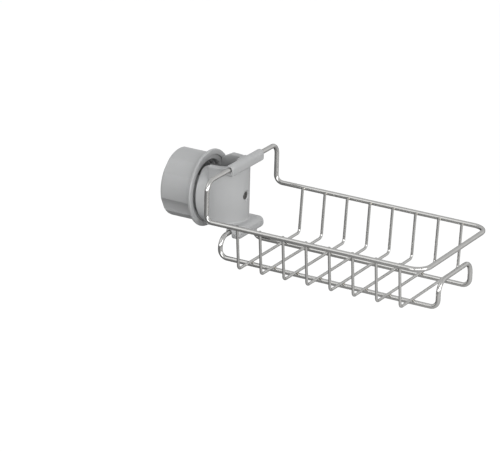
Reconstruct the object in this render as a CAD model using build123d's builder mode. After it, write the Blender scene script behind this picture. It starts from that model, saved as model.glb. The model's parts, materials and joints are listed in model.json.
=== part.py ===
from build123d import *
import os
from math import degrees, pi, sqrt

os.makedirs("parts", exist_ok=True)

# A wire basket for a sponge, hung on a screw clamp that grips an upright pipe.
# The origin is on the pipe's axis, at the height of the clamp screw's axis.
# X runs from the knob to the far end of the basket, Y to the back, Z up.

# Driving dimensions, in millimetres
pipe_r = 12.0
liner_t = 1.5
jaw_wall = 2.0
shell_wall = 3.0
shell_top_z = 24.2
shell_bottom_z = -21.6
part_gap = 0.1
overrun = 5.0

# Basket wires
main_wire_r = 1.75
rib_wire_r = 1.05
weld_sink = 0.1
basket_shift = -5.8
basket_w = 101.4
riser_x = 18.1
end_rail_x = 194.7
rim_z = -2.6
crossbar_z = 27.4
riser_bend_r = 8.0
riser_foot_bend_r = 5.5
rim_corner_r = 11.0
runner_half_w = 24.9
runner_z = -38.9
runner_hook_x = 15.3
runner_hook_z = -24.0
runner_hook_bend_r = 8.0
runner_bend_r = 6.0
lift_x = 194.5
lift_z = -19.3
lift_bend_r = 9.0
rib_count = 8
first_rib_x = 42.4
end_rib_gap = 20.0
rib_floor_half_w = 44.7
rib_bend_r = 3.2
rib_tip_rise = 0.8

# Knob
knob_wall = 4.45
knob_back_x = -40.6
knob_back_fillet = 2.4
knob_end_wall = 3.0
flange_step = 3.3
flange_t = 2.2
flange_pipe_gap = 0.3
flange_fillet = 1.0
mouth_lip = 4.2
mouth_depth = 1.6
flute_count = 5
flute_w = 12.7
flute_depth = 1.8
flute_first_deg = 45.2
post_r = 7.0
pad_stud_r = 4.0
pad_stud_l = 6.0
bead_r = 4.35
bead_l = 1.0

# Screw thread between the arms and the knob
thread_pitch = 5.0
arm_t = 6.1
thread_depth = 1.5
thread_root_w = 2.6
thread_crest_w = 1.5
thread_gap = 0.35
thread_sink = 0.25
outer_turns = 4.0
inner_turns = 1.9
arm_end_x = -34.5
outer_thread_start_x = -32.7
inner_thread_offset_turns = 1.5

# Collar: round at the knob's mouth, square where it meets the cover
collar_gap = 1.0
collar_back_x = -11.2
collar_front_x = -3.5
collar_top_drop = 3.3
collar_bottom_drop = 2.4

# Sleeve over the top crossbar, and lug over the lower one
bar_gap = 0.25
sleeve_near_l = 25.4
sleeve_far_l = 21.2
sleeve_wall = 1.35
sleeve_foot = 5.5
sleeve_near_fillet = 0.8
sleeve_far_fillet = 2.2
fin_half_w = 6.0
fin_root = 1.49
lug_half_w = 19.0
lug_back_wall = 0.9
lug_front_x = 24.5
lug_top_z = -19.6
lug_bottom_z = -28.3
lug_nose_fillet = 3.6
lug_toe_fillet = 2.4
lug_shoulder_fillet = 5.0

# Screw that holds the cover
screw_r = 1.5
screw_head_r = 2.9
screw_head_t = 1.1
screw_recess_r = 3.4
screw_recess_depth = 1.8
screw_slot_w = 0.9
screw_slot_l = 3.6
screw_slot_depth = 0.6
screw_end_gap = 0.2

# Pads
saddle_half_angle = 75.0
saddle_half_h = 19.0
pad_half_w = 11.5
pad_half_h = 12.0
pad_back_x = -18.8
pad_fillet = 1.5
pad_liner_half_angle = 52.0
pad_liner_inset = 0.5
hub_r = 8.3
hub_gap = 0.2
bore_gap = 0.05
bead_gap = 0.25

# Worked out from the sizes above
channel_r = pipe_r + liner_t
jaw_wall_r = channel_r + jaw_wall
cover_inner_r = jaw_wall_r + part_gap
shell_r = cover_inner_r + shell_wall
thread_root_r = channel_r + arm_t
cavity_r = thread_root_r + thread_depth + thread_gap
knob_r = cavity_r + knob_wall
flange_r = knob_r + flange_step
mouth_r = flange_r - mouth_lip
collar_r = mouth_r - collar_gap
collar_top_z = collar_r - collar_top_drop
collar_bottom_z = collar_bottom_drop - collar_r
cavity_floor_x = knob_back_x + knob_end_wall
flange_front_x = -pipe_r - flange_pipe_gap
flange_back_x = flange_front_x - flange_t
post_end_x = pad_back_x - pad_stud_l + hub_gap
stud_end_x = post_end_x + pad_stud_l
slot_r = main_wire_r + bar_gap
fin_nose_x = riser_x - slot_r
lug_back_x = runner_hook_x - slot_r - lug_back_wall
fin_foot_x = sqrt(jaw_wall_r**2 - fin_half_w**2)
fin_back_x = fin_foot_x - fin_root
basket_y = basket_shift
rail_half_w = basket_w / 2
rib_pitch = (end_rail_x - end_rib_gap - first_rib_x) / (rib_count - 1)
rib_floor_z = runner_z + main_wire_r + rib_wire_r - weld_sink
rib_rail_half_w = rail_half_w - main_wire_r - rib_wire_r + weld_sink
rib_lean = (rib_rail_half_w - rib_floor_half_w) / (rim_z - rib_floor_z)


def helical_ridge(start_x, turns, base_r, tip_r, base_w, tip_w):
    """A trapezoid ridge wound round the X axis, right-handed."""
    with BuildPart() as ridge:
        with BuildLine() as path:
            Helix(
                pitch=thread_pitch,
                height=thread_pitch * turns,
                radius=base_r,
                center=(start_x, 0, 0),
                direction=(1, 0, 0),
            )
        start = path.line @ 0
        outward = Vector(0, start.Y, start.Z).normalized()
        profile = Plane(origin=start, x_dir=outward, z_dir=path.line % 0)
        with BuildSketch(profile):
            with BuildLine():
                Polyline(
                    (0, -base_w / 2),
                    (tip_r - base_r, -tip_w / 2),
                    (tip_r - base_r, tip_w / 2),
                    (0, base_w / 2),
                    close=True,
                )
            make_face()
        sweep(path=path.line, is_frenet=True)
    return ridge.part


def channel_outline(radius, back_x):
    """A half disc round the pipe with straight sides that run back along X."""
    with BuildSketch(mode=Mode.PRIVATE) as outline:
        with BuildLine():
            Line((back_x, -radius), (0, -radius))
            ThreePointArc((0, -radius), (radius, 0), (0, radius))
            Line((0, radius), (back_x, radius))
            Line((back_x, radius), (back_x, -radius))
        make_face()
    return outline.sketch


def bar_slot(length, center_x, center_z, half_l, along):
    """A slot round a crossbar, open along one direction, cut through in Y."""
    back = Plane.XZ.offset(-half_l)
    with BuildPart() as slot:
        with BuildSketch(back):
            with Locations((center_x, center_z)):
                Circle(slot_r)
            middle_x = center_x + along[0] * length / 2
            middle_z = center_z + along[1] * length / 2
            size_x = length if along[0] else 2 * slot_r
            size_z = length if along[1] else 2 * slot_r
            with Locations((middle_x, middle_z)):
                Rectangle(size_x, size_z)
        extrude(amount=2 * half_l)
    return slot.part


# Jaw: threaded split arms, collar and the wall behind the saddle
arm_ridge = helical_ridge(
    outer_thread_start_x,
    outer_turns,
    thread_root_r - thread_sink,
    thread_root_r + thread_depth,
    thread_root_w,
    thread_crest_w,
)
hook_slot = bar_slot(
    runner_hook_z - lug_bottom_z + overrun,
    runner_hook_x,
    runner_hook_z,
    lug_half_w + overrun,
    (0, -1),
)
crossbar_slot = bar_slot(
    sleeve_wall + slot_r + overrun,
    riser_x,
    crossbar_z,
    sleeve_near_l + overrun,
    (-1, 0),
)

top_half_w = sqrt(collar_r**2 - collar_top_z**2)
bottom_half_w = sqrt(collar_r**2 - collar_bottom_z**2)
with BuildPart() as collar:
    with BuildSketch(Plane.YZ.offset(collar_back_x)):
        with BuildLine():
            Line((-top_half_w, collar_top_z), (top_half_w, collar_top_z))
            ThreePointArc(
                (top_half_w, collar_top_z), (collar_r, 0), (bottom_half_w, collar_bottom_z)
            )
            Line((bottom_half_w, collar_bottom_z), (-bottom_half_w, collar_bottom_z))
            ThreePointArc(
                (-bottom_half_w, collar_bottom_z), (-collar_r, 0), (-top_half_w, collar_top_z)
            )
        make_face()
    with BuildSketch(Plane.YZ.offset(collar_front_x)):
        with BuildLine():
            Polyline(
                (-shell_r, shell_top_z),
                (shell_r, shell_top_z),
                (shell_r, shell_bottom_z),
                (-shell_r, shell_bottom_z),
                close=True,
            )
        make_face()
    loft(ruled=True)

with BuildPart() as clamp_jaw:
    with BuildSketch(Plane.YZ.offset(arm_end_x)):
        Circle(thread_root_r)
    extrude(amount=collar_front_x - arm_end_x)
    chamfer(faces().sort_by(Axis.X)[0].edges(), thread_depth / 2)
    add(arm_ridge)
    add(collar.part)
    with BuildSketch(Plane.XY.offset(shell_bottom_z)):
        add(channel_outline(jaw_wall_r, collar_front_x - part_gap))
    extrude(amount=shell_top_z - shell_bottom_z)
    with BuildSketch(Plane.XY.offset(-collar_r - overrun)):
        add(channel_outline(channel_r, arm_end_x - overrun))
    extrude(amount=2 * (collar_r + overrun), mode=Mode.SUBTRACT)
    with BuildSketch(Plane.XZ.offset(-fin_half_w)):
        with BuildLine():
            Polyline(
                (fin_back_x, shell_top_z - sleeve_wall),
                (fin_foot_x, shell_top_z - sleeve_wall),
                (fin_foot_x, crossbar_z - slot_r + part_gap),
                (fin_nose_x, crossbar_z - slot_r + part_gap),
                (fin_nose_x, crossbar_z + slot_r - part_gap),
                (fin_back_x, crossbar_z + slot_r - part_gap),
                close=True,
            )
        make_face()
    extrude(amount=2 * fin_half_w)
    with BuildSketch(Plane.YZ):
        Circle(screw_r)
    extrude(amount=shell_r, mode=Mode.SUBTRACT)
clamp_jaw.part.label = "clamp_jaw"
export_step(clamp_jaw.part, "parts/clamp_jaw.step")

# Cover: the shell round the jaw, with the sleeve on top and the lug below
sleeve_r = slot_r + sleeve_wall
lug_center = ((lug_back_x + lug_front_x) / 2, (lug_top_z + lug_bottom_z) / 2)
with BuildPart() as lug:
    with BuildSketch(Plane.XZ.offset(-lug_half_w)):
        with Locations(lug_center):
            Rectangle(lug_front_x - lug_back_x, lug_top_z - lug_bottom_z)
    extrude(amount=2 * lug_half_w)
    end_tops = edges().filter_by(Axis.X).group_by(Axis.Z)[-1]
    fillet(end_tops, lug_shoulder_fillet)
    nose = edges().filter_by(Axis.Y).group_by(Axis.X)[-1].sort_by(Axis.Z)[-1]
    fillet(nose, lug_nose_fillet)
    toe = edges().group_by(Axis.Z)[0].filter_by(Axis.Y).sort_by(Axis.X)[-1]
    fillet(toe, lug_toe_fillet)

with BuildPart() as sleeve:
    with BuildSketch(Plane.XZ.offset(-sleeve_far_l)):
        with Locations((riser_x, crossbar_z)):
            Circle(sleeve_r)
        foot_h = sleeve_foot - sleeve_r / 2
        with Locations((riser_x, crossbar_z - foot_h / 2)):
            Rectangle(2 * sleeve_r, foot_h)
        with Locations((riser_x, crossbar_z - foot_h)):
            Ellipse(sleeve_r, sleeve_r / 2)
    extrude(amount=sleeve_far_l + sleeve_near_l)
    fillet(edges().group_by(Axis.Y)[0], sleeve_near_fillet)
    fillet(edges().group_by(Axis.Y)[-1], sleeve_far_fillet)

with BuildPart() as front_cover:
    with BuildSketch(Plane.XY.offset(shell_bottom_z)):
        add(channel_outline(shell_r, collar_front_x + part_gap))
    extrude(amount=shell_top_z - shell_bottom_z)
    add(lug.part)
    add(sleeve.part)
    with BuildSketch(Plane.XY.offset(lug_bottom_z - overrun)):
        add(channel_outline(cover_inner_r, collar_front_x - overrun))
    extrude(amount=shell_top_z + part_gap - lug_bottom_z + overrun, mode=Mode.SUBTRACT)
    add(hook_slot, mode=Mode.SUBTRACT)
    add(crossbar_slot, mode=Mode.SUBTRACT)
    with BuildSketch(Plane.YZ):
        Circle(screw_r + part_gap)
    extrude(amount=shell_r, mode=Mode.SUBTRACT)
    with BuildSketch(Plane.YZ.offset(shell_r - screw_recess_depth)):
        Circle(screw_recess_r)
    extrude(amount=screw_recess_depth + overrun, mode=Mode.SUBTRACT)
front_cover.part.label = "front_cover"
export_step(front_cover.part, "parts/front_cover.step")

# Screw in the middle of the cover, sunk below its surface
head_seat_x = shell_r - screw_recess_depth
with BuildPart() as cover_screw:
    with BuildSketch(Plane.YZ.offset(head_seat_x)):
        Circle(screw_head_r)
    extrude(amount=screw_head_t)
    fillet(edges().group_by(Axis.X)[-1], screw_head_t / 3)
    with BuildSketch(Plane.YZ.offset(head_seat_x + screw_head_t - screw_slot_depth)):
        Rectangle(screw_slot_l, screw_slot_w)
        Rectangle(screw_slot_w, screw_slot_l)
    extrude(amount=screw_slot_depth, mode=Mode.SUBTRACT)
    with BuildSketch(Plane.YZ.offset(channel_r + screw_end_gap)):
        Circle(screw_r)
    extrude(amount=head_seat_x - channel_r - screw_end_gap)
cover_screw.part.label = "cover_screw"
export_step(cover_screw.part, "parts/cover_screw.step")


def pad_sector(half_angle, facing_deg):
    """A slice of the ring between the pipe and the channel wall."""
    first = facing_deg - half_angle
    with BuildSketch(mode=Mode.PRIVATE) as sector:
        with BuildLine():
            outer = CenterArc((0, 0), channel_r, first, 2 * half_angle)
            inner = CenterArc((0, 0), pipe_r, first, 2 * half_angle)
            Line(outer @ 0, inner @ 0)
            Line(outer @ 1, inner @ 1)
        make_face()
    return sector.sketch


# Rubber saddle in the jaw, on the far side of the pipe from the knob
with BuildPart() as saddle_liner:
    with BuildSketch(Plane.XY.offset(-saddle_half_h)):
        add(pad_sector(saddle_half_angle, 0))
    extrude(amount=2 * saddle_half_h)
saddle_liner.part.label = "saddle_liner"
export_step(saddle_liner.part, "parts/saddle_liner.step")

# Pressure pad: slides between the arms and turns on the knob's stud
pad_liner_half_h = pad_half_h - pad_liner_inset
with BuildPart() as pressure_pad:
    pad_front_x = -sqrt(channel_r**2 - pad_half_w**2)
    with BuildSketch(Plane.XY.offset(-pad_half_h)):
        with Locations(((pad_back_x + pad_front_x) / 2, 0)):
            Rectangle(pad_front_x - pad_back_x, 2 * pad_half_w)
    extrude(amount=2 * pad_half_h)
    back_edges = faces().sort_by(Axis.X)[0].edges()
    fillet(back_edges, pad_fillet)
    with BuildSketch(Plane.YZ.offset(post_end_x + hub_gap)):
        Circle(hub_r)
    extrude(amount=-channel_r - post_end_x - hub_gap)
    with BuildSketch(Plane.XY.offset(-pad_half_h - overrun)):
        Circle(channel_r)
    extrude(amount=2 * (pad_half_h + overrun), mode=Mode.SUBTRACT)
    with BuildSketch(Plane.YZ.offset(post_end_x)):
        Circle(pad_stud_r + bore_gap)
    extrude(amount=pad_stud_l + hub_gap, mode=Mode.SUBTRACT)
    with BuildSketch(Plane.YZ.offset(stud_end_x - bead_l - bead_gap)):
        Circle(bead_r + bead_gap)
    extrude(amount=bead_l + 2 * bead_gap, mode=Mode.SUBTRACT)
pressure_pad.part.label = "pressure_pad"
export_step(pressure_pad.part, "parts/pressure_pad.step")

with BuildPart() as pad_liner:
    with BuildSketch(Plane.XY.offset(-pad_liner_half_h)):
        add(pad_sector(pad_liner_half_angle, degrees(pi)))
    extrude(amount=2 * pad_liner_half_h)
pad_liner.part.label = "pad_liner"
export_step(pad_liner.part, "parts/pad_liner.step")

# Knob: a cup with a flange, grip flutes, an inner thread and a centre post
flute_sag = flute_depth - (knob_r - sqrt(knob_r**2 - (flute_w / 2) ** 2))
flute_r = ((flute_w / 2) ** 2 + flute_sag**2) / (2 * flute_sag)
flute_center_r = knob_r - flute_depth + flute_r
knob_ridge = helical_ridge(
    outer_thread_start_x + inner_thread_offset_turns * thread_pitch,
    inner_turns,
    cavity_r + thread_sink,
    thread_root_r + thread_gap,
    thread_root_w,
    thread_crest_w,
)

with BuildPart() as clamp_knob:
    with BuildSketch(Plane.XZ):
        with BuildLine():
            Polyline(
                (knob_back_x, 0),
                (knob_back_x, knob_r),
                (flange_back_x, knob_r),
                (flange_back_x, flange_r),
                (flange_front_x, flange_r),
                (flange_front_x, mouth_r),
                (flange_front_x - mouth_depth, mouth_r),
                (flange_front_x - mouth_depth, cavity_r),
                (cavity_floor_x, cavity_r),
                (cavity_floor_x, post_r),
                (post_end_x, post_r),
                (post_end_x, pad_stud_r),
                (stud_end_x - bead_l, pad_stud_r),
                (stud_end_x - bead_l, bead_r),
                (stud_end_x, bead_r),
                (stud_end_x, 0),
                close=True,
            )
        make_face()
    revolve(axis=Axis.X)
    circles = edges().filter_by(GeomType.CIRCLE)
    back_rim = circles.group_by(Axis.X)[0]
    fillet(back_rim, knob_back_fillet)
    rims = edges().filter_by(GeomType.CIRCLE).group_by(SortBy.RADIUS)[-1]
    fillet(rims, flange_fillet)
    with BuildSketch(Plane.YZ.offset(knob_back_x - overrun)):
        with PolarLocations(flute_center_r, flute_count, start_angle=90 + flute_first_deg):
            Circle(flute_r)
    extrude(amount=flange_back_x - knob_back_x + overrun, mode=Mode.SUBTRACT)
    add(knob_ridge)
clamp_knob.part.label = "clamp_knob"
export_step(clamp_knob.part, "parts/clamp_knob.step")


def closed_wire(points, radii):
    """Half of a wire loop, swept from its first point and mirrored across."""
    with BuildPart() as loop:
        with BuildLine() as path:
            FilletPolyline(*points, radius=radii)
        with BuildSketch(Plane(origin=points[0], z_dir=(0, 1, 0))):
            Circle(main_wire_r)
        sweep(path=path.line)
        mirror(about=Plane.XZ.offset(-basket_y))
    return loop


# Rim: up the risers, through the sleeve, and round the top of the basket
rim_y = basket_y + rail_half_w
rim_wire = closed_wire(
    [
        (riser_x, basket_y, crossbar_z),
        (riser_x, rim_y, crossbar_z),
        (riser_x, rim_y, rim_z),
        (end_rail_x, rim_y, rim_z),
        (end_rail_x, basket_y, rim_z),
    ],
    [riser_bend_r, riser_foot_bend_r, rim_corner_r],
)
rim_wire.part.label = "rim_wire"
export_step(rim_wire.part, "parts/rim_wire.step")

# Runner: under the ribs, up to the lug at one end and to the end stop at the other
runner_y = basket_y + runner_half_w
runner_wire = closed_wire(
    [
        (runner_hook_x, basket_y, runner_hook_z),
        (runner_hook_x, runner_y, runner_hook_z),
        (runner_hook_x, runner_y, runner_z),
        (lift_x, runner_y, runner_z),
        (lift_x, runner_y, lift_z),
        (lift_x, basket_y, lift_z),
    ],
    [runner_hook_bend_r, runner_bend_r, runner_bend_r, lift_bend_r],
)
runner_wire.part.label = "runner_wire"
export_step(runner_wire.part, "parts/runner_wire.step")

# Ribs: welded inside the rim and on top of the runners
rib_tip_half_w = rib_rail_half_w + rib_lean * rib_tip_rise
for number in range(rib_count):
    rib_x = first_rib_x + number * rib_pitch
    with BuildPart() as rib:
        with BuildLine() as path:
            FilletPolyline(
                (rib_x, basket_y - rib_tip_half_w, rim_z + rib_tip_rise),
                (rib_x, basket_y - rib_floor_half_w, rib_floor_z),
                (rib_x, basket_y + rib_floor_half_w, rib_floor_z),
                (rib_x, basket_y + rib_tip_half_w, rim_z + rib_tip_rise),
                radius=rib_bend_r,
            )
        with BuildSketch(Plane(origin=path.line @ 0, z_dir=path.line % 0)):
            Circle(rib_wire_r)
        sweep(path=path.line)
    rib.part.label = f"rib_{number + 1}"
    export_step(rib.part, f"parts/rib_{number + 1}.step")
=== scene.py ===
"""A wire sponge basket on a screw clamp, dressed around its packed CAD frame."""

import json
import math

import bmesh
import bpy
from mathutils import Matrix, Vector


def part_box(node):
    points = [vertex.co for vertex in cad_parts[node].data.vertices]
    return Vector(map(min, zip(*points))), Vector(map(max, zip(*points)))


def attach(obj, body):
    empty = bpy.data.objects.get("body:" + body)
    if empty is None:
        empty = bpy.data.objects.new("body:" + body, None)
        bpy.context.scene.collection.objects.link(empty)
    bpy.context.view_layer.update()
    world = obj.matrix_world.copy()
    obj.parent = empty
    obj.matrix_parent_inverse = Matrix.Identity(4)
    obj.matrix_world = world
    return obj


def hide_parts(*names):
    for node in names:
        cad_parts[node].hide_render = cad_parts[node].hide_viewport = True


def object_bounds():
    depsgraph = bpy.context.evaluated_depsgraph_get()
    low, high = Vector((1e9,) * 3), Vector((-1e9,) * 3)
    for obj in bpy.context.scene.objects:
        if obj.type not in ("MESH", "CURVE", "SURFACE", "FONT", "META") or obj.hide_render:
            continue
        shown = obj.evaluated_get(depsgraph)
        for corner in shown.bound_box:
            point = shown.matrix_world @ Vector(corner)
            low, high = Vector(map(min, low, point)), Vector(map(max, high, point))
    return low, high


bl_info = {
    "name": "Sponge Basket on a Pipe Clamp",
    "version": (1, 0, 0),
    "blender": (4, 5, 0),
    "location": "View3D > Sidebar > Sponge Basket",
    "description": "Makes the wires, mouldings, rubbers and stage of a clamp-on sponge basket",
    "category": "Object",
}

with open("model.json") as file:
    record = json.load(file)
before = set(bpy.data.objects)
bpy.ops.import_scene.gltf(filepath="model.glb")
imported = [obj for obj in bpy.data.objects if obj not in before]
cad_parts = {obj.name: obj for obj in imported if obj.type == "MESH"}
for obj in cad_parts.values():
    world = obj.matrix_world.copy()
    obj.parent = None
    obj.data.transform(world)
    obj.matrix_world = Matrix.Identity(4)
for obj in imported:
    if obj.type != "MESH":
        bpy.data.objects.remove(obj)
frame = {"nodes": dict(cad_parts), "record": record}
cad_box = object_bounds()

MM = 0.001
KNOB_LOW, KNOB_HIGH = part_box("clamp_knob")
RIB_NODES = sorted(name for name in frame["nodes"] if name.startswith("rib_"))


# Settings
class WireSizes(bpy.types.PropertyGroup):
    """Sizes of the basket's wires."""

    main_radius: bpy.props.FloatProperty(
        name="Main wire radius",
        description="Radius of the rim and runner wire",
        default=1.75 * MM,
        unit="LENGTH",
    )
    rib_radius: bpy.props.FloatProperty(
        name="Rib wire radius",
        description="Radius of the thin ribs",
        default=1.05 * MM,
        unit="LENGTH",
    )
    riser_bend: bpy.props.FloatProperty(
        name="Riser bend",
        description="Bend radius where a riser meets the crossbar",
        default=8 * MM,
        unit="LENGTH",
    )
    foot_bend: bpy.props.FloatProperty(
        name="Riser foot bend",
        description="Bend radius where a riser turns into the rim",
        default=5.5 * MM,
        unit="LENGTH",
    )
    far_bend: bpy.props.FloatProperty(
        name="Far corner bend",
        description="Bend radius of the rim's far corners",
        default=11 * MM,
        unit="LENGTH",
    )
    hook_height: bpy.props.FloatProperty(
        name="Hook height",
        description="Height of the runner's bar in the lug",
        default=-24 * MM,
        unit="LENGTH",
    )
    hook_bend: bpy.props.FloatProperty(
        name="Hook bend",
        description="Bend radius at the runner's bar in the lug",
        default=8 * MM,
        unit="LENGTH",
    )
    runner_bend: bpy.props.FloatProperty(
        name="Runner bend",
        description="Bend radius where a runner leaves the floor",
        default=6 * MM,
        unit="LENGTH",
    )
    lift_bend: bpy.props.FloatProperty(
        name="End loop bend",
        description="Bend radius at the top of the end loop",
        default=9 * MM,
        unit="LENGTH",
    )
    rib_bend: bpy.props.FloatProperty(
        name="Rib bend",
        description="Bend radius of a rib's lower corners",
        default=3.2 * MM,
        unit="LENGTH",
    )
    rib_floor_half: bpy.props.FloatProperty(
        name="Rib floor half width",
        description="Half the width of a rib at the basket's floor",
        default=44.7 * MM,
        unit="LENGTH",
    )
    weld_sink: bpy.props.FloatProperty(
        name="Weld sink",
        description="How far a rib sinks into the wire it is welded to",
        default=0.1 * MM,
        unit="LENGTH",
    )
    facets: bpy.props.IntProperty(
        name="Wire facets", description="Sides round a wire", default=28, min=8
    )
    bend_steps: bpy.props.IntProperty(
        name="Bend steps", description="Steps round each bend", default=14, min=4
    )


class KnobSizes(bpy.types.PropertyGroup):
    """Sizes of the knob."""

    back: bpy.props.FloatProperty(
        name="Back face",
        description="Place of the back face along X",
        default=KNOB_LOW.x,
        unit="LENGTH",
    )
    flange_front: bpy.props.FloatProperty(
        name="Flange front",
        description="Front of the flange along X",
        default=KNOB_HIGH.x,
        unit="LENGTH",
    )
    flange_thickness: bpy.props.FloatProperty(
        name="Flange thickness",
        description="Thickness of the flange",
        default=2.2 * MM,
        unit="LENGTH",
    )
    flange_radius: bpy.props.FloatProperty(
        name="Flange radius",
        description="Radius of the flange",
        default=(KNOB_HIGH.z - KNOB_LOW.z) / 2,
        unit="LENGTH",
    )
    flange_step: bpy.props.FloatProperty(
        name="Flange step",
        description="How far the flange stands out from the grip",
        default=3.3 * MM,
        unit="LENGTH",
    )
    mouth_lip: bpy.props.FloatProperty(
        name="Mouth lip",
        description="Width of the flange's front face",
        default=4.2 * MM,
        unit="LENGTH",
    )
    wall: bpy.props.FloatProperty(
        name="Wall",
        description="Wall between the grip and the thread",
        default=4.45 * MM,
        unit="LENGTH",
    )
    back_round: bpy.props.FloatProperty(
        name="Back rounding",
        description="Radius of the grip's rounded back edge",
        default=2.4 * MM,
        unit="LENGTH",
    )
    pitch: bpy.props.FloatProperty(
        name="Thread pitch", description="Travel for one turn", default=5 * MM, unit="LENGTH"
    )
    turns: bpy.props.FloatProperty(
        name="Thread turns", description="Turns of the inner thread", default=1.9, min=0.5
    )
    flute_count: bpy.props.IntProperty(
        name="Flutes", description="Number of grip flutes", default=5, min=1
    )
    flute_angle: bpy.props.FloatProperty(
        name="First flute",
        description="Angle of the first flute from +Y towards +Z",
        default=math.radians(135.2),
        subtype="ANGLE",
    )
    flute_width: bpy.props.FloatProperty(
        name="Flute width", description="Width of a flute", default=12.7 * MM, unit="LENGTH"
    )
    flute_depth: bpy.props.FloatProperty(
        name="Flute depth", description="Depth of a flute", default=1.8 * MM, unit="LENGTH"
    )


class MouldingSizes(bpy.types.PropertyGroup):
    """How finely and how softly the mouldings are made."""

    cell: bpy.props.FloatProperty(
        name="Cell size",
        description="Size of a moulding's mesh cells",
        default=0.42 * MM,
        unit="LENGTH",
    )
    soft_passes: bpy.props.IntProperty(
        name="Edge softness", description="Smoothing passes on an outer moulding", default=9, min=0
    )
    crisp_passes: bpy.props.IntProperty(
        name="Thread softness",
        description="Smoothing passes on a threaded moulding",
        default=4,
        min=0,
    )
    groove_depth: bpy.props.FloatProperty(
        name="Grip groove depth",
        description="Depth of the grooves in the rubbers",
        default=0.35 * MM,
        unit="LENGTH",
    )
    groove_pitch: bpy.props.FloatProperty(
        name="Grip groove pitch",
        description="Distance between the grooves in the rubbers",
        default=2.4 * MM,
        unit="LENGTH",
    )


class FinishColours(bpy.types.PropertyGroup):
    """Colours of the finishes."""

    plastic: bpy.props.FloatVectorProperty(
        name="Plastic",
        description="Colour of the satin grey plastic",
        default=(0.43, 0.434, 0.436),
        subtype="COLOR",
        min=0,
        max=1,
    )
    pad: bpy.props.FloatVectorProperty(
        name="Pad plastic",
        description="Colour of the pressure pad",
        default=(0.22, 0.225, 0.23),
        subtype="COLOR",
        min=0,
        max=1,
    )
    rubber: bpy.props.FloatVectorProperty(
        name="Rubber",
        description="Colour of the rubbers",
        default=(0.022, 0.022, 0.024),
        subtype="COLOR",
        min=0,
        max=1,
    )
    steel: bpy.props.FloatVectorProperty(
        name="Polished steel",
        description="Colour of the wires",
        default=(0.61, 0.605, 0.59),
        subtype="COLOR",
        min=0,
        max=1,
    )
    floor: bpy.props.FloatVectorProperty(
        name="Floor",
        description="Colour of the floor",
        default=(0.22, 0.22, 0.22),
        subtype="COLOR",
        min=0,
        max=1,
    )


class StageSetup(bpy.types.PropertyGroup):
    """Camera and floor."""

    azimuth: bpy.props.FloatProperty(
        name="Azimuth",
        description="Camera angle round Z",
        default=math.radians(29.677),
        subtype="ANGLE",
    )
    elevation: bpy.props.FloatProperty(
        name="Elevation",
        description="Camera angle above the horizon",
        default=math.radians(20.86),
        subtype="ANGLE",
    )
    roll: bpy.props.FloatProperty(
        name="Roll", description="Camera roll", default=math.radians(1.49), subtype="ANGLE"
    )
    place: bpy.props.FloatVectorProperty(
        name="Camera place",
        description="Where the camera stands",
        default=(1.19659, -2.06065, 0.88068),
        subtype="TRANSLATION",
    )
    lens: bpy.props.FloatProperty(
        name="Lens", description="Focal length", default=247.97, unit="CAMERA"
    )
    floor_drop: bpy.props.FloatProperty(
        name="Floor drop",
        description="How far the floor lies below the part",
        default=90 * MM,
        unit="LENGTH",
    )
    floor_size: bpy.props.FloatProperty(
        name="Floor size", description="Half the floor's side", default=6.0, unit="LENGTH"
    )


GROUPS = (
    (WireSizes, "basket_wires"),
    (KnobSizes, "basket_knob"),
    (MouldingSizes, "basket_mouldings"),
    (FinishColours, "basket_finishes"),
    (StageSetup, "basket_stage"),
)


# Node helpers
def add_node(tree, kind, inputs=None, **settings):
    """A node with its settings and inputs; an input may be a value or a socket."""
    node = tree.nodes.new(kind)
    for key, value in settings.items():
        setattr(node, key, value)
    for key, value in (inputs or {}).items():
        if isinstance(value, bpy.types.NodeSocket):
            tree.links.new(value, node.inputs[key])
        else:
            node.inputs[key].default_value = value
    return node


def maths(tree, operation, *values):
    """A maths node's result."""
    inputs = dict(enumerate(values))
    return add_node(tree, "ShaderNodeMath", inputs, operation=operation).outputs[0]


def spread(tree, value, low, high):
    """A 0 to 1 value spread between two numbers."""
    node = add_node(tree, "ShaderNodeMapRange", {"Value": value, "To Min": low, "To Max": high})
    return node.outputs["Result"]


def spread_between(tree, value, start, end, low, high):
    """A value between two places spread between two numbers, held outside them."""
    inputs = {"Value": value, "From Min": start, "From Max": end, "To Min": low, "To Max": high}
    return add_node(tree, "ShaderNodeMapRange", inputs).outputs["Result"]


def grain(tree, vector, scale, detail=2.0, roughness=0.5):
    """A noise's grey value."""
    inputs = {"Vector": vector, "Scale": scale, "Detail": detail, "Roughness": roughness}
    return add_node(tree, "ShaderNodeTexNoise", inputs).outputs["Fac"]


def mixed(tree, factor, first, second, blend="MIX"):
    """Two colours mixed."""
    node = add_node(tree, "ShaderNodeMix", data_type="RGBA", blend_type=blend)
    for socket, value in ((0, factor), (6, first), (7, second)):
        if isinstance(value, bpy.types.NodeSocket):
            tree.links.new(value, node.inputs[socket])
        else:
            node.inputs[socket].default_value = value
    return node.outputs[2]


def bump(tree, height, strength, distance, under=None):
    """A bump's normal, on top of another bump if one is given."""
    inputs = {"Height": height, "Strength": strength, "Distance": distance}
    if under is not None:
        inputs["Normal"] = under
    return add_node(tree, "ShaderNodeBump", inputs).outputs["Normal"]


def opaque(colour, gain=1.0):
    """A colour with full alpha, made lighter or darker."""
    return tuple(min(part * gain, 1.0) for part in colour) + (1.0,)


def start_finish(name):
    """A new material, its node tree, its shader and its object coordinates."""
    material = bpy.data.materials.new(name)
    material.use_nodes = True
    tree = material.node_tree
    shader = tree.nodes["Principled BSDF"]
    coords = tree.nodes.new("ShaderNodeTexCoord").outputs["Object"]
    return material, tree, shader, coords


def wire_up(tree, shader, **sockets):
    """Links results to the shader's sockets, named with underscores for spaces."""
    for name, result in sockets.items():
        tree.links.new(result, shader.inputs[name.replace("_", " ")])


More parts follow.
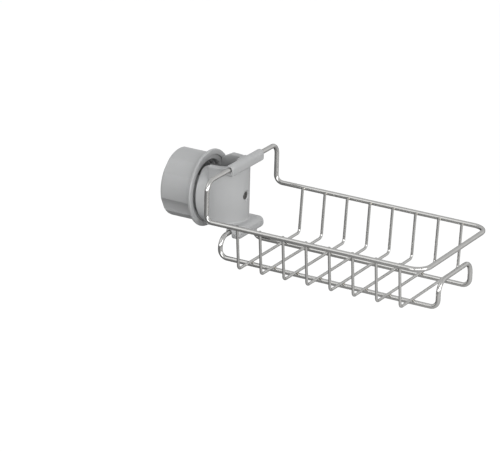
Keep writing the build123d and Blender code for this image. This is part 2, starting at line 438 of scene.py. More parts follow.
# Finishes
def satin_plastic(name, colour, roughness):
    """Moulded plastic: a fine sparked grain, faint clouding, and convex edges painted lighter as a
    highlight.
    """
    material, tree, shader, coords = start_finish(name)
    clouds = grain(tree, coords, 70, 3)
    edges = tree.nodes.new("ShaderNodeNewGeometry").outputs["Pointiness"]
    # painted highlight: pointiness picks out convex edges, which are mixed towards a lighter copy
    # of the colour
    edge_highlight = spread_between(tree, edges, 0.54, 0.64, 0.0, 0.3)
    clouded = mixed(tree, clouds, opaque(colour, 0.95), opaque(colour, 1.05))
    tint = mixed(tree, edge_highlight, clouded, opaque(colour, 1.35))
    smudges = grain(tree, coords, 160, 4, 0.6)
    fine = grain(tree, coords, 5200, 3, 0.6)
    coarse = grain(tree, coords, 1500, 2)
    skin = bump(tree, coarse, 0.12, 0.00012)
    skin = bump(tree, fine, 0.16, 0.00005, skin)
    wire_up(
        tree,
        shader,
        Base_Color=tint,
        Roughness=spread(tree, smudges, roughness - 0.05, roughness + 0.06),
        Normal=skin,
    )
    return material


def dull_rubber(name, colour):
    """Soft black rubber with a dusty bloom."""
    material, tree, shader, coords = start_finish(name)
    bloom = grain(tree, coords, 240, 4, 0.65)
    skin = bump(tree, grain(tree, coords, 3600, 3), 0.25, 0.00008)
    wire_up(
        tree,
        shader,
        Base_Color=mixed(tree, bloom, opaque(colour, 0.8), opaque(colour, 1.7)),
        Roughness=spread(tree, bloom, 0.66, 0.82),
        Normal=skin,
    )
    return material


def polished_wire(name, colour):
    """Polished drawn steel, with faint lines along the wire."""
    material, tree, shader, coords = start_finish(name)
    ring = add_node(tree, "ShaderNodeAttribute", attribute_name="ring").outputs["Vector"]
    run = add_node(tree, "ShaderNodeAttribute", attribute_name="run").outputs["Fac"]
    parts = add_node(tree, "ShaderNodeSeparateXYZ", {"Vector": ring})
    along = maths(tree, "MULTIPLY", run, 2.0)
    drawn = add_node(
        tree,
        "ShaderNodeCombineXYZ",
        {"X": parts.outputs["X"], "Y": parts.outputs["Y"], "Z": along},
    ).outputs["Vector"]
    lines = grain(tree, drawn, 9, 3, 0.6)
    haze = grain(tree, coords, 220, 3)
    shader.inputs["Metallic"].default_value = 1.0
    shader.inputs["Specular Tint"].default_value = (0.5, 0.5, 0.5, 1.0)
    wire_up(
        tree,
        shader,
        Base_Color=mixed(tree, haze, opaque(colour, 0.92), opaque(colour, 1.08)),
        Roughness=spread(tree, lines, 0.1, 0.2),
        Normal=bump(tree, lines, 0.05, 0.00005),
    )
    return material


def weld_steel(name, colour):
    """Weld beads: duller steel with a straw and blue heat tint."""
    material, tree, shader, coords = start_finish(name)
    heat = grain(tree, coords, 700, 3)
    straw = mixed(tree, heat, opaque(colour, 1.15), (0.6, 0.53, 0.4, 1.0))
    blue = maths(tree, "GREATER_THAN", grain(tree, coords, 420, 2), 0.66)
    shader.inputs["Metallic"].default_value = 1.0
    wire_up(
        tree,
        shader,
        Base_Color=mixed(tree, blue, straw, (0.44, 0.47, 0.52, 1.0)),
        Roughness=spread(tree, heat, 0.26, 0.44),
        Normal=bump(tree, heat, 0.3, 0.0001),
    )
    return material


def turned_steel(name, colour):
    """Screw steel, its colour darkened as painted shade for the cover's recess, with rings from
    turning about the X axis.
    """
    material, tree, shader, coords = start_finish(name)
    parts = add_node(tree, "ShaderNodeSeparateXYZ", {"Vector": coords})
    across = maths(tree, "POWER", parts.outputs["Y"], 2.0)
    upward = maths(tree, "POWER", parts.outputs["Z"], 2.0)
    radius = maths(tree, "SQRT", maths(tree, "ADD", across, upward))
    rings = maths(tree, "SINE", maths(tree, "MULTIPLY", radius, 26000.0))
    rings = spread(tree, maths(tree, "MULTIPLY_ADD", rings, 0.5, 0.5), 0.24, 0.36)
    shader.inputs["Metallic"].default_value = 1.0
    # painted shade: the haze mixes between darkened copies of the steel's colour, so the screw
    # reads as the dark recess it sits in
    haze = grain(tree, coords, 900, 2)
    wire_up(
        tree,
        shader,
        Base_Color=mixed(tree, haze, opaque(colour, 0.22), opaque(colour, 0.34)),
        Roughness=rings,
        Normal=bump(tree, rings, 0.2, 0.00003),
    )
    return material


def pale_floor(name, colour):
    """A plain floor, white to the camera; to metal it glows with painted light, brightest at the
    front right and dimmer under the basket as painted shade.
    """
    material, tree, shader, coords = start_finish(name)
    tree.nodes.remove(shader)
    mottle = grain(tree, coords, 3, 2)
    tint = mixed(tree, mottle, opaque(colour, 0.995), opaque(colour, 1.005))
    matt = add_node(tree, "ShaderNodeBsdfDiffuse", {"Color": tint}).outputs[0]
    path = tree.nodes.new("ShaderNodeLightPath").outputs
    parts = add_node(tree, "ShaderNodeSeparateXYZ", {"Vector": coords}).outputs
    # painted light and shade in reflections: glossy rays see the floor glow by its place, strong
    # at the front right and faint beneath the basket
    rightward = spread_between(tree, parts["X"], -0.05, 0.3, 0.02, 0.6)
    near = spread_between(tree, parts["Y"], -0.55, -0.3, 0.2, 1.0)
    painted_floor_glow = maths(tree, "MULTIPLY", rightward, near)
    mirrored = maths(tree, "MULTIPLY", painted_floor_glow, path["Is Glossy Ray"])
    seen = maths(tree, "MAXIMUM", path["Is Camera Ray"], mirrored)
    seen = maths(tree, "MAXIMUM", seen, path["Is Transmission Ray"])
    full = 1.06 - max(colour)
    lift = add_node(
        tree,
        "ShaderNodeEmission",
        {"Color": (1, 1, 1, 1), "Strength": maths(tree, "MULTIPLY", seen, full)},
    ).outputs[0]
    both = add_node(tree, "ShaderNodeAddShader", {0: matt, 1: lift}).outputs[0]
    tree.links.new(both, tree.nodes["Material Output"].inputs["Surface"])
    return material


def finish(slot):
    """The finish for one of the record's slots, or for the welds or floor, made once."""
    colours = bpy.context.scene.basket_finishes
    makers = {
        "grey_plastic": (satin_plastic, "satin grey plastic", colours.plastic, 0.36),
        "pad_plastic": (satin_plastic, "matte pad plastic", colours.pad, 0.5),
        "liner_rubber": (dull_rubber, "black liner rubber", colours.rubber),
        "polished_wire": (polished_wire, "drawn and polished steel", colours.steel),
        "welds": (weld_steel, "heat tinted weld steel", colours.steel),
        "screw_steel": (turned_steel, "turned screw steel", colours.steel),
        "floor": (pale_floor, "pale studio floor", colours.floor),
    }
    maker, name, *values = makers[slot]
    return bpy.data.materials.get(name) or maker(name, *values)


# Mesh helpers
def new_piece(name, mesh, material, body, slot, *nodes):
    """An object for a finished mesh, riding on a body and standing for CAD nodes."""
    mesh.name = name
    piece = bpy.data.objects.new(name, mesh)
    bpy.context.scene.collection.objects.link(piece)
    mesh.materials.clear()
    mesh.materials.append(material)
    for polygon in mesh.polygons:
        polygon.use_smooth = True
    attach(piece, body)
    if nodes:
        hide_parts(*nodes)
    return piece


def evaluated_mesh(holder):
    """The mesh that a modified object shows; the object is then removed."""
    graph = bpy.context.evaluated_depsgraph_get()
    mesh = bpy.data.meshes.new_from_object(
        holder.evaluated_get(graph), preserve_all_data_layers=True, depsgraph=graph
    )
    bpy.data.objects.remove(holder)
    if not mesh.polygons:
        raise RuntimeError("a piece came out empty")
    return mesh


def seed_object(name, points, attributes, closed=False, edges=True):
    """A chain of points with number attributes, for a node tree to grow from."""
    mesh = bpy.data.meshes.new(name)
    last = len(points) - 1
    links = [(i, i + 1) for i in range(last)] + ([(last, 0)] if closed else [])
    mesh.from_pydata(points, links if edges else [], [])
    for key, values in attributes.items():
        layer = mesh.attributes.new(key, "FLOAT", "POINT")
        layer.data.foreach_set("value", values)
    holder = bpy.data.objects.new(name, mesh)
    bpy.context.scene.collection.objects.link(holder)
    return holder


def grow(holder, tree, **values):
    """Runs a node tree on a holder with its inputs set by identifier."""
    modifier = holder.modifiers.new(tree.name, "NODES")
    sockets = {
        item.name: item.identifier
        for item in tree.interface.items_tree
        if item.item_type == "SOCKET" and item.in_out == "INPUT"
    }
    for key, value in values.items():
        modifier[sockets[key.replace("_", " ")]] = value
    modifier.node_group = tree
    return evaluated_mesh(holder)


def start_tree(name, inputs):
    """A geometry node tree with a geometry input and named inputs."""
    tree = bpy.data.node_groups.new(name, "GeometryNodeTree")
    tree.interface.new_socket("Geometry", in_out="INPUT", socket_type="NodeSocketGeometry")
    for label, kind, value in inputs:
        socket = tree.interface.new_socket(label, in_out="INPUT", socket_type=kind)
        if value is not None:
            socket.default_value = value
    tree.interface.new_socket("Geometry", in_out="OUTPUT", socket_type="NodeSocketGeometry")
    source = tree.nodes.new("NodeGroupInput").outputs
    return tree, source


def end_tree(tree, geometry, material):
    """Realizes, sets the finish and ends a geometry node tree."""
    real = add_node(tree, "GeometryNodeRealizeInstances", {"Geometry": geometry})
    smooth = add_node(tree, "GeometryNodeSetShadeSmooth", {"Geometry": real.outputs[0]})
    done = add_node(
        tree, "GeometryNodeSetMaterial", {"Geometry": smooth.outputs[0], "Material": material}
    )
    sink = tree.nodes.new("NodeGroupOutput")
    tree.links.new(done.outputs[0], sink.inputs[0])


def named_number(tree, name):
    """A stored number attribute."""
    return add_node(
        tree, "GeometryNodeInputNamedAttribute", {"Name": name}, data_type="FLOAT"
    ).outputs["Attribute"]


def stored(tree, geometry, name, value, kind):
    """Geometry with a value stored on its points."""
    return add_node(
        tree,
        "GeometryNodeStoreNamedAttribute",
        {"Geometry": geometry, "Name": name, "Value": value},
        data_type=kind,
        domain="POINT",
    ).outputs[0]


def swept_wire(tree, source):
    """Bends the input chain at its corners and sweeps a round wire along it."""
    curve = add_node(tree, "GeometryNodeMeshToCurve", {"Mesh": source["Geometry"]}).outputs[0]
    bent = add_node(
        tree,
        "GeometryNodeFilletCurve",
        {"Curve": curve, "Count": source["Bend steps"], "Radius": named_number(tree, "bend")},
        mode="POLY",
    ).outputs[0]
    length = tree.nodes.new("GeometryNodeSplineParameter").outputs["Length"]
    bent = stored(tree, bent, "run", length, "FLOAT")
    thick = add_node(
        tree, "GeometryNodeSetCurveRadius", {"Curve": bent, "Radius": named_number(tree, "thick")}
    ).outputs[0]
    circle = add_node(
        tree,
        "GeometryNodeCurvePrimitiveCircle",
        {"Resolution": source["Facets"], "Radius": source["Wire radius"]},
        mode="RADIUS",
    ).outputs[0]
    place = tree.nodes.new("GeometryNodeInputPosition").outputs[0]
    unit = add_node(tree, "ShaderNodeVectorMath", {0: place}, operation="NORMALIZE").outputs[0]
    circle = stored(tree, circle, "ring", unit, "FLOAT_VECTOR")
    return add_node(
        tree,
        "GeometryNodeCurveToMesh",
        {"Curve": thick, "Profile Curve": circle, "Fill Caps": True},
    ).outputs[0]


WIRE_INPUTS = [
    ("Wire radius", "NodeSocketFloat", 1.75 * MM),
    ("Facets", "NodeSocketInt", 24),
    ("Bend steps", "NodeSocketInt", 12),
    ("Finish", "NodeSocketMaterial", None),
]
ROW_INPUTS = [
    ("Count", "NodeSocketInt", 8),
    ("Pitch", "NodeSocketVector", (0.0, 0.0, 0.0)),
]


def wire_loop_tree():
    """One bent wire."""
    tree, source = start_tree("Bent wire", WIRE_INPUTS)
    end_tree(tree, swept_wire(tree, source), source["Finish"])
    return tree


def in_a_row(tree, source, piece):
    """Copies of a piece in a row."""
    line = add_node(
        tree,
        "GeometryNodeMeshLine",
        {"Count": source["Count"], "Offset": source["Pitch"]},
        mode="OFFSET",
        count_mode="TOTAL",
    ).outputs[0]
    return add_node(
        tree, "GeometryNodeInstanceOnPoints", {"Points": line, "Instance": piece}
    ).outputs[0]


def rib_row_tree():
    """A row of bent ribs."""
    tree, source = start_tree("Rib row", WIRE_INPUTS + ROW_INPUTS)
    end_tree(tree, in_a_row(tree, source, swept_wire(tree, source)), source["Finish"])
    return tree


def weld_row_tree():
    """Weld beads at the seed points of one rib, repeated for each rib."""
    inputs = ROW_INPUTS + [
        ("Bead size", "NodeSocketVector", (1.0, 1.0, 1.0)),
        ("Finish", "NodeSocketMaterial", None),
    ]
    tree, source = start_tree("Weld row", inputs)
    bead = add_node(
        tree, "GeometryNodeMeshIcoSphere", {"Radius": 1.0, "Subdivisions": 3}
    ).outputs[0]
    sides = {"X": "wide", "Y": "deep", "Z": "tall"}
    sides = {socket: named_number(tree, name) for socket, name in sides.items()}
    flat = add_node(tree, "ShaderNodeCombineXYZ", sides).outputs[0]
    scale = add_node(
        tree, "ShaderNodeVectorMath", {0: flat, 1: source["Bead size"]}, operation="MULTIPLY"
    ).outputs[0]
    spots = add_node(
        tree,
        "GeometryNodeInstanceOnPoints",
        {"Points": source["Geometry"], "Instance": bead, "Scale": scale},
    ).outputs[0]
    end_tree(tree, in_a_row(tree, source, spots), source["Finish"])
    return tree


# Wires
def basket_lines():
    """Centre lines of the basket's wires, read from the frame's boxes."""
    sizes = bpy.context.scene.basket_wires
    inset = Vector((sizes.main_radius,) * 3)
    rim_low, rim_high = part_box("rim_wire")
    run_low, run_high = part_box("runner_wire")
    return rim_low + inset, rim_high - inset, run_low + inset, run_high - inset


class SPONGE_OT_wire_loops(bpy.types.Operator):
    """Makes the rim wire and the runner wire"""

    bl_idname = "sponge.wire_loops"
    bl_label = "Rim and Runner Wires"

    def execute(self, context):
        """Bends both closed wires through their corners."""
        sizes = context.scene.basket_wires
        rim_low, rim_high, run_low, run_high = basket_lines()
        middle = (rim_low.y + rim_high.y) / 2
        riser_x, end_x, rim_z, bar_z = rim_low.x, rim_high.x, rim_low.z, rim_high.z
        hook_x, lift_x, floor_z, lift_z = run_low.x, run_high.x, run_low.z, run_high.z
        tree = wire_loop_tree()

        rim_corners = [(riser_x, bar_z, sizes.riser_bend), (riser_x, rim_z, sizes.foot_bend)]
        rim_corners.append((end_x, rim_z, sizes.far_bend))
        run_corners = [(hook_x, sizes.hook_height, sizes.hook_bend)]
        run_corners += [(hook_x, floor_z, sizes.runner_bend), (lift_x, floor_z, sizes.runner_bend)]
        run_corners.append((lift_x, lift_z, sizes.lift_bend))
        loops = (
            ("rim_and_risers", rim_corners, rim_low.y, rim_high.y, "rim_wire"),
            ("runner_loop", run_corners, run_low.y, run_high.y, "runner_wire"),
        )
        for name, corners, front, back, node in loops:
            start = (corners[0][0], middle, corners[0][1])
            points = [start]
            points += [(x, back, z) for x, z, _ in corners]
            points += [(x, front, z) for x, z, _ in reversed(corners)]
            bends = [0.0] + [bend for _, _, bend in corners]
            bends += [bend for _, _, bend in reversed(corners)]
            seed = seed_object(
                name, points, {"bend": bends, "thick": [1.0] * len(points)}, closed=True
            )
            mesh = grow(
                seed,
                tree,
                Wire_radius=sizes.main_radius,
                Facets=sizes.facets,
                Bend_steps=sizes.bend_steps,
                Finish=finish("polished_wire"),
            )
            new_piece(name, mesh, finish("polished_wire"), "basket", "polished_wire", node)
        return {"FINISHED"}


class SPONGE_OT_ribs(bpy.types.Operator):
    """Makes the row of ribs and the weld beads that hold them"""

    bl_idname = "sponge.ribs"
    bl_label = "Ribs and Welds"

    def execute(self, context):
        """Bends one rib, repeats it along the basket and puts beads at its welds."""
        sizes = context.scene.basket_wires
        rim_low, rim_high, run_low, run_high = basket_lines()
        middle = (rim_low.y + rim_high.y) / 2
        centres = sorted(sum(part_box(node), Vector()).x / 2 for node in RIB_NODES)
        count = len(centres)
        pitch = (centres[-1] - centres[0]) / (count - 1)
        first = centres[0]
        tip_z = max(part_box(RIB_NODES[0])[1].z, rim_low.z) - 0.06 * MM
        floor_z = run_low.z + sizes.main_radius + sizes.rib_radius - sizes.weld_sink
        reach = sizes.main_radius + sizes.rib_radius - sizes.weld_sink
        rail_half = (rim_high.y - rim_low.y) / 2
        rail_side = rail_half - reach
        lean = (rail_side - sizes.rib_floor_half) / (rim_low.z - floor_z)
        tip_half = rail_side + lean * (tip_z - rim_low.z)

        radius = sizes.rib_radius
        slant = Vector((0, lean, 1)).normalized()
        ending = ((0.0, 0.3), (0.12, 0.62), (0.35, 0.88), (0.8, 1.0))
        down = [Vector((0, tip_half, tip_z)) - slant * radius * step for step, _ in ending]
        half = [(point, 0.0, thick) for point, (_, thick) in zip(down, ending)]
        half.append((Vector((0, sizes.rib_floor_half, floor_z)), sizes.rib_bend, 1.0))
        chain = [((first, middle + p.y, p.z), bend, thick) for p, bend, thick in half]
        chain += [((first, middle - p.y, p.z), bend, thick) for p, bend, thick in reversed(half)]
        seed = seed_object(
            "rib_seed",
            [point for point, _, _ in chain],
            {"bend": [bend for _, bend, _ in chain], "thick": [thick for _, _, thick in chain]},
        )
        row = {"Count": count, "Pitch": (pitch, 0.0, 0.0)}
        mesh = grow(
            seed,
            rib_row_tree(),
            Wire_radius=radius,
            Facets=20,
            Bend_steps=10,
            Finish=finish("polished_wire"),
            **row,
        )
        new_piece("ribs", mesh, finish("polished_wire"), "basket", "polished_wire", *RIB_NODES)

        run_half = (run_high.y - run_low.y) / 2
        touch = floor_z - radius + sizes.weld_sink / 2
        side = rail_half - sizes.main_radius + sizes.weld_sink / 2
        low = rim_low.z - 0.35 * MM
        spots = [(first, middle + sign * side, low) for sign in (1, -1)]
        spots += [(first, middle + sign * run_half, touch) for sign in (1, -1)]
        shape = {"wide": [1.2, 1.2, 1.25, 1.25], "deep": [0.45, 0.45, 1.4, 1.4]}
        shape["tall"] = [1.2, 1.2, 0.38, 0.38]
        seed = seed_object("weld_seed", spots, shape, edges=False)
        mesh = grow(
            seed, weld_row_tree(), Bead_size=(MM, MM, MM), Finish=finish("welds"), **row
        )
        new_piece("weld_beads", mesh, finish("welds"), "basket", "polished_wire")
        return {"FINISHED"}


# Knob
def arc_rows(x, r, radius, start, end, steps, tag):
    """Stations round an arc in the profile, from one angle to another in degrees."""
    rows = []
    for step in range(steps + 1):
        angle = math.radians(start + (end - start) * step / steps)
        rows.append((x + radius * math.cos(angle), r + radius * math.sin(angle), tag))
    return rows


def straight_rows(start, end, steps, tag):
    """Stations along a straight, leaving out its first point."""
    rows = []
    for step in range(1, steps + 1):
        part = step / steps
        rows.append(
            (start[0] + (end[0] - start[0]) * part, start[1] + (end[1] - start[1]) * part, tag)
        )
    return rows


def knob_angles(sizes):
    """Angles round the knob, with one on each edge of every flute."""
    across, between = 24, 36
    half = math.asin(sizes.flute_width / 2 / (sizes.flange_radius - sizes.flange_step))
    step = 2 * math.pi / sizes.flute_count
    angles = []
    for flute in range(sizes.flute_count):
        centre = sizes.flute_angle + flute * step
        angles += [centre + half * (2 * i / across - 1) for i in range(across)]
        angles += [centre + half + (step - 2 * half) * i / between for i in range(between)]
    return angles


def lathe(name, rows, angles, shape):
    """A closed solid turned about X, whose radius may change with the angle."""
    mesh = bpy.data.meshes.new(name)
    bm = bmesh.new()
    segments, rings = len(angles), []
    for x, r, tag in rows:
        if r <= 0:
            rings.append([bm.verts.new((x, 0, 0))])
            continue
        ring = []
        for angle in angles:
            radius = shape(x, r, tag, angle)
            ring.append(bm.verts.new((x, radius * math.cos(angle), radius * math.sin(angle))))
        rings.append(ring)
    for near, far in zip(rings, rings[1:]):
        for step in range(segments):
            after = (step + 1) % segments
            if len(near) == 1:
                bm.faces.new((near[0], far[after], far[step]))
            elif len(far) == 1:
                bm.faces.new((near[step], near[after], far[0]))
            else:
                bm.faces.new((near[step], near[after], far[after], far[step]))
    bmesh.ops.recalc_face_normals(bm, faces=bm.faces)
    bm.to_mesh(mesh)
    bm.free()
    return mesh


def knob_profile(sizes):
    """The knob's stations from the middle of its back, round the outside and in."""
    back, round_r, edge = sizes.back, sizes.back_round, 0.9 * MM
    flange_r, front = sizes.flange_radius, sizes.flange_front
    grip, mouth = flange_r - sizes.flange_step, flange_r - sizes.mouth_lip
    cavity, flange_back = grip - sizes.wall, front - sizes.flange_thickness
    dish_r, dish_depth = 17.0 * MM, 0.5 * MM
    wall, post_r = 3.0 * MM, 7.0 * MM
    stud_r, bead_r, bead_l = 4.0 * MM, 4.35 * MM, 1.0 * MM
    post_end, stud_end = -24.6 * MM, -18.6 * MM
    floor_x, mouth_x = back + wall, front - 1.6 * MM
    rows = [(back + dish_depth, 0, "plain")]
    rows += straight_rows((back + dish_depth, 0), (back + dish_depth, dish_r), 6, "plain")
    for step in range(1, 9):
        part = step / 8
        ease = part * part * (3 - 2 * part)
        rows.append((back + dish_depth * (1 - ease), dish_r + 1.6 * MM * part, "plain"))
    rows += straight_rows((back, dish_r + 1.6 * MM), (back, grip - round_r), 5, "grip")
    rows += arc_rows(back + round_r, grip - round_r, round_r, 180, 90, 12, "grip")
    grip_end = flange_back - 0.8 * MM
    rows += straight_rows((back + round_r, grip), (grip_end, grip), 22, "grip")
    rows += arc_rows(grip_end, grip + 0.8 * MM, 0.8 * MM, -90, 0, 5, "root")
    rows += arc_rows(flange_back + edge, flange_r - edge, edge, 180, 90, 7, "plain")
    rows += arc_rows(front - edge, flange_r - edge, edge, 90, 0, 7, "plain")
    lip = 0.35 * MM
    rows += arc_rows(front - lip, mouth + lip, lip, 0, -90, 4, "plain")
    rows += straight_rows((front - lip, mouth), (mouth_x, mouth), 3, "plain")
    rows += straight_rows((mouth_x, mouth), (mouth_x, cavity + lip), 4, "plain")
    rows += arc_rows(mouth_x - lip, cavity + lip, lip, 0, -90, 3, "plain")
    rows += straight_rows((mouth_x - lip, cavity), (floor_x, cavity), 104, "thread")
    rows += straight_rows((floor_x, cavity), (floor_x, post_r), 6, "plain")
    rows += straight_rows((floor_x, post_r), (post_end - lip, post_r), 6, "plain")
    rows += straight_rows((post_end - lip, post_r), (post_end, post_r - lip), 1, "plain")
    rows += straight_rows((post_end, post_r - lip), (post_end, stud_r), 3, "plain")
    bead_start = stud_end - bead_l
    rows += straight_rows((post_end, stud_r), (bead_start - lip, stud_r), 4, "plain")
    rows += straight_rows((bead_start - lip, stud_r), (bead_start, bead_r), 2, "plain")
    rows += straight_rows((bead_start, bead_r), (stud_end - lip, bead_r), 2, "plain")
    rows += straight_rows((stud_end - lip, bead_r), (stud_end, bead_r - lip), 2, "plain")
    rows += straight_rows((stud_end, bead_r - lip), (stud_end, 0), 3, "plain")
    return rows


def knob_shape(sizes):
    """How the flutes and the inner thread change the knob's radius."""
    grip = sizes.flange_radius - sizes.flange_step
    half = sizes.flute_width / 2
    sag = sizes.flute_depth - (grip - math.sqrt(grip**2 - half**2))
    flute_r = (half**2 + sag**2) / (2 * sag)
    centre_r = grip - sizes.flute_depth + flute_r
    blend = 0.05 * MM
    crest, start_x = 1.5 * MM, -25.2 * MM
    base_w, tip_w = 2.6 * MM, 1.5 * MM
    quarter = math.pi / 2

    def flute_cut(angle):
        """The radius that the nearest flute leaves at an angle, or None."""
        step = 2 * math.pi / sizes.flute_count
        offset = (angle - sizes.flute_angle + step / 2) % step - step / 2
        across = centre_r * math.sin(offset)
        if abs(across) >= flute_r:
            return None
        return centre_r * math.cos(offset) - math.sqrt(flute_r**2 - across**2)

    def shape(x, r, tag, angle):
        if tag in ("grip", "root"):
            cut = flute_cut(angle)
            if cut is None or tag == "root" and r > grip + 0.3 * MM:
                return r
            closeness = max(blend - abs(r - cut), 0) / blend
            return min(r, cut) - closeness**2 * blend / 4
        if tag == "thread":
            travel = (x - start_x) / sizes.pitch
            phase = ((angle - quarter) / (2 * math.pi)) % 1
            nearest = round(travel - phase) + phase
            inside = min(nearest, sizes.turns - nearest)
            if inside < -0.02:
                return r
            away = abs(travel - nearest) * sizes.pitch
            slope = (base_w / 2 - away) / (base_w / 2 - tip_w / 2)
            fade = min(max((inside + 0.02) * 14, 0), 1)
            return r - crest * min(max(slope, 0), 1) * fade
        return r

    return shape


class SPONGE_OT_knob(bpy.types.Operator):
    """Makes the knob with its flutes, flange, mouth, inner thread and stud"""

    bl_idname = "sponge.knob"
    bl_label = "Knob"

    def execute(self, context):
        """Turns the knob's profile about the screw's axis."""
        sizes, sharpest_smooth = context.scene.basket_knob, math.radians(26)
        mesh = lathe("clamp_knob", knob_profile(sizes), knob_angles(sizes), knob_shape(sizes))
        material = finish("grey_plastic")
        new_piece("knob_moulding", mesh, material, "knob", "grey_plastic", "clamp_knob")
        mesh.set_sharp_from_angle(angle=sharpest_smooth)
        return {"FINISHED"}


# Mouldings
def softened_copy(node, cell, passes):
    """A node's shape in even cells, its edges softened but for those at the cover's seam."""
    mesh = frame["nodes"][node].data.copy()
    bm = bmesh.new()
    bm.from_mesh(mesh)
    bmesh.ops.remove_doubles(bm, verts=bm.verts, dist=0.002 * MM)
    bm.to_mesh(mesh)
    bm.free()
    holder = bpy.data.objects.new(node + "_soft", mesh)
    bpy.context.scene.collection.objects.link(holder)
    remesh = holder.modifiers.new("Cells", "REMESH")
    remesh.mode = "VOXEL"
    remesh.voxel_size = cell
    remesh.use_smooth_shade = True
    mesh = evaluated_mesh(holder)
    seam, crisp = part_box("front_cover")[0].x, 0.7 * MM
    bm = bmesh.new()
    bm.from_mesh(mesh)
    free = [vert for vert in bm.verts if abs(vert.co.x - seam) > crisp]
    for _ in range(passes):
        bmesh.ops.smooth_vert(
            bm, verts=free, factor=0.5, use_axis_x=True, use_axis_y=True, use_axis_z=True
        )
    bm.to_mesh(mesh)
    bm.free()
    return mesh


class SPONGE_OT_mouldings(bpy.types.Operator):
    """Makes the jaw, the cover, the pressure pad and the cover's screw"""

    bl_idname = "sponge.mouldings"
    bl_label = "Mouldings"

    def execute(self, context):
        """Softens each moulding's edges and gives it its finish."""
        sizes = context.scene.basket_mouldings
        cell, soft, crisp = sizes.cell, sizes.soft_passes, sizes.crisp_passes
        jobs = (
            ("jaw_moulding", "clamp_jaw", cell, crisp, "clamp", "grey_plastic"),
            ("cover_moulding", "front_cover", cell, soft, "clamp", "grey_plastic"),
            ("pad_block", "pressure_pad", cell, crisp, "pad", "pad_plastic"),
            ("cover_screw_turned", "cover_screw", cell / 4, 2, "clamp", "screw_steel"),
        )
        for name, node, cell, passes, body, kind in jobs:
            mesh = softened_copy(node, cell, passes)
            new_piece(name, mesh, finish(kind), body, kind, node)
        return {"FINISHED"}


# Rubbers
def ribbed_sector(low, high, inner, outer, facing, half_angle, depth, pitch):
    """A curved rubber strip with level grooves in its inner face."""
    bm = bmesh.new()
    across, rows = 40, max(int(round((high - low) / pitch * 8)), 8)
    grid = []
    for row in range(rows + 1):
        z = low + (high - low) * row / rows
        wave = 0.5 - 0.5 * math.cos(2 * math.pi * (z - low) / pitch)
        groove = depth * max(wave - 0.45, 0) / 0.55
        line = []
        for column in range(across + 1):
            angle = facing + half_angle * (2 * column / across - 1)
            edge = min(column, across - column) / 3
            cut = groove * min(edge, 1)
            ring = [(inner + cut, z), (outer, z)]
            line.append(
                [bm.verts.new((r * math.cos(angle), r * math.sin(angle), h)) for r, h in ring]
            )
        grid.append(line)

    for near, far in zip(grid, grid[1:]):
        for column in range(across):
            for side in (0, 1):
                low_edge = (near[column][side], near[column + 1][side])
                bm.faces.new(low_edge + (far[column + 1][side], far[column][side]))
        for column in (0, across):
            bm.faces.new((*near[column], *reversed(far[column])))
    for line in (grid[0], grid[-1]):
        for left, right in zip(line, line[1:]):
            bm.faces.new((left[0], right[0], right[1], left[1]))
    bmesh.ops.recalc_face_normals(bm, faces=bm.faces)
    mesh = bpy.data.meshes.new("rubber")
    bm.to_mesh(mesh)
    bm.free()
    return mesh


class SPONGE_OT_rubbers(bpy.types.Operator):
    """Makes the rubber saddle and the pad's rubber face"""

    bl_idname = "sponge.rubbers"
    bl_label = "Rubbers"

    def execute(self, context):
        """Makes both grooved rubbers inside their nodes' boxes."""
        sizes = context.scene.basket_mouldings
        pipe = frame["record"]["mounts"][0]["dims"]["r_mm"] * MM
        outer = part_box("saddle_liner")[1].x
        jobs = (
            ("saddle_rubber", "saddle_liner", "clamp", 0.0, math.radians(75)),
            ("pad_rubber", "pad_liner", "pad", math.pi, math.radians(52)),
        )
        for name, node, body, facing, half_angle in jobs:
            low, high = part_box(node)
            mesh = ribbed_sector(
                low.z,
                high.z,
                pipe,
                outer,
                facing,
                half_angle,
                sizes.groove_depth,
                sizes.groove_pitch,
            )
            new_piece(name, mesh, finish("liner_rubber"), body, "liner_rubber", node)
        return {"FINISHED"}


# Stage
def soft_lamp(name, place, aim, size, power):
    """A large soft lamp that faces a point."""
    data = bpy.data.lights.new(name, "AREA")
    data.shape = "RECTANGLE"
    data.size, data.size_y = size
    data.energy = power
    lamp = bpy.data.objects.new(name, data)
    lamp.location = place
    lamp.rotation_euler = (Vector(aim) - Vector(place)).to_track_quat("-Z", "Y").to_euler()
    bpy.context.scene.collection.objects.link(lamp)


def studio_world():
    """A soft white surround, a little darker overhead and low at the front."""
    world = bpy.data.worlds.new("Studio surround")
    world.use_nodes = True
    tree = world.node_tree
    back = tree.nodes["Background"]
    direction = tree.nodes.new("ShaderNodeTexCoord").outputs["Generated"]
    parts = add_node(tree, "ShaderNodeSeparateXYZ", {"Vector": direction}).outputs
    height = spread_between(tree, parts["Z"], 0.0, 0.6, 0.97, 0.69)
    behind = spread_between(tree, parts["Y"], -0.2, 0.5, 0.7, 1.0)
    upper = spread_between(tree, parts["Z"], 0.1, 0.6, 0.0, 1.0)
    around = maths(tree, "MAXIMUM", behind, upper)
    tree.links.new(maths(tree, "MULTIPLY", height, around), back.inputs["Strength"])
    back.inputs["Color"].default_value = (0.995, 1.0, 1.005, 1)
    bpy.context.scene.world = world


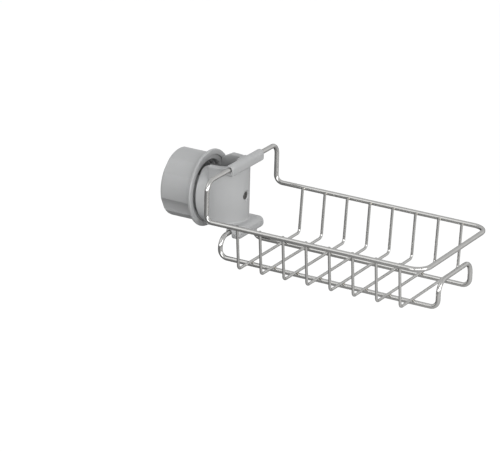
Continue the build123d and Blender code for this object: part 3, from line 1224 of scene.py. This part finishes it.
class SPONGE_OT_stage(bpy.types.Operator):
    """Makes the floor, the lamps, the surround and the camera"""

    bl_idname = "sponge.stage"
    bl_label = "Stage"

    def execute(self, context):
        """Sets up a pale, softly lit studio with the camera at its angle."""
        scene = context.scene
        setup = scene.basket_stage
        low, high = cad_box
        ground = low.z - setup.floor_drop
        side = setup.floor_size
        mesh = bpy.data.meshes.new("floor")
        corners = [(-side, -side), (side, -side), (side, side), (-side, side)]
        mesh.from_pydata([(x, y, ground) for x, y in corners], [], [(0, 1, 2, 3)])
        mesh.materials.append(finish("floor"))
        floor = bpy.data.objects.new("floor", mesh)
        scene.collection.objects.link(floor)

        middle = (low + high) / 2
        soft_lamp("key_lamp", (-0.7, -0.95, 1.1), middle, (1.0, 0.9), 1.9)
        soft_lamp("low_lamp", (0.12, -1.62, 0.32), middle, (0.8, 0.5), 4.4)
        soft_lamp("front_lamp", (1.15, -1.2, 0.48), middle, (0.9, 0.7), 9.4)
        soft_lamp("right_lamp", (1.6, -0.3, 0.35), middle, (0.8, 0.8), 7.4)
        studio_world()

        azimuth, tilt = setup.azimuth, setup.elevation
        level = math.cos(tilt)
        back = Vector((math.sin(azimuth) * level, -math.cos(azimuth) * level, math.sin(tilt)))
        right = Vector((math.cos(azimuth), math.sin(azimuth), 0))
        up = back.cross(right)
        turned_right = right * math.cos(setup.roll) + up * math.sin(setup.roll)
        turned_up = up * math.cos(setup.roll) - right * math.sin(setup.roll)
        data = bpy.data.cameras.new("studio_camera")
        data.sensor_width = 36.0
        data.lens = setup.lens
        data.clip_start, data.clip_end = 0.1, 50.0
        camera = bpy.data.objects.new("studio_camera", data)
        axes = Matrix((turned_right, turned_up, back)).transposed()
        camera.matrix_world = Matrix.Translation(setup.place) @ axes.to_4x4()
        scene.collection.objects.link(camera)
        scene.camera = camera
        scene.view_settings.view_transform = "Standard"
        return {"FINISHED"}


class SPONGE_PT_basket(bpy.types.Panel):
    """Lists the pieces and their settings"""

    bl_idname = "SPONGE_PT_basket"
    bl_label = "Sponge Basket"
    bl_space_type = "VIEW_3D"
    bl_region_type = "UI"
    bl_category = "Sponge Basket"

    def draw(self, context):
        """Draws each operator's button and each group's settings."""
        layout = self.layout
        for operator in OPERATORS:
            layout.operator(operator.bl_idname)
        for group, attribute in GROUPS:
            box = layout.box()
            box.label(text=group.__doc__)
            for key in group.__annotations__:
                box.prop(getattr(context.scene, attribute), key)


OPERATORS = (
    SPONGE_OT_wire_loops,
    SPONGE_OT_ribs,
    SPONGE_OT_knob,
    SPONGE_OT_mouldings,
    SPONGE_OT_rubbers,
    SPONGE_OT_stage,
)


def register():
    """Registers the settings, operators and panel."""
    for group, attribute in GROUPS:
        bpy.utils.register_class(group)
        setattr(bpy.types.Scene, attribute, bpy.props.PointerProperty(type=group))
    for operator in OPERATORS:
        bpy.utils.register_class(operator)
    bpy.utils.register_class(SPONGE_PT_basket)


def unregister():
    """Takes the settings, operators and panel away."""
    bpy.utils.unregister_class(SPONGE_PT_basket)
    for operator in reversed(OPERATORS):
        bpy.utils.unregister_class(operator)
    for group, attribute in reversed(GROUPS):
        delattr(bpy.types.Scene, attribute)
        bpy.utils.unregister_class(group)


def main():
    """Makes every piece and the stage."""
    register()
    for operator in OPERATORS:
        family, action = operator.bl_idname.split(".")
        getattr(getattr(bpy.ops, family), action)()


if __name__ == "__main__":
    main()
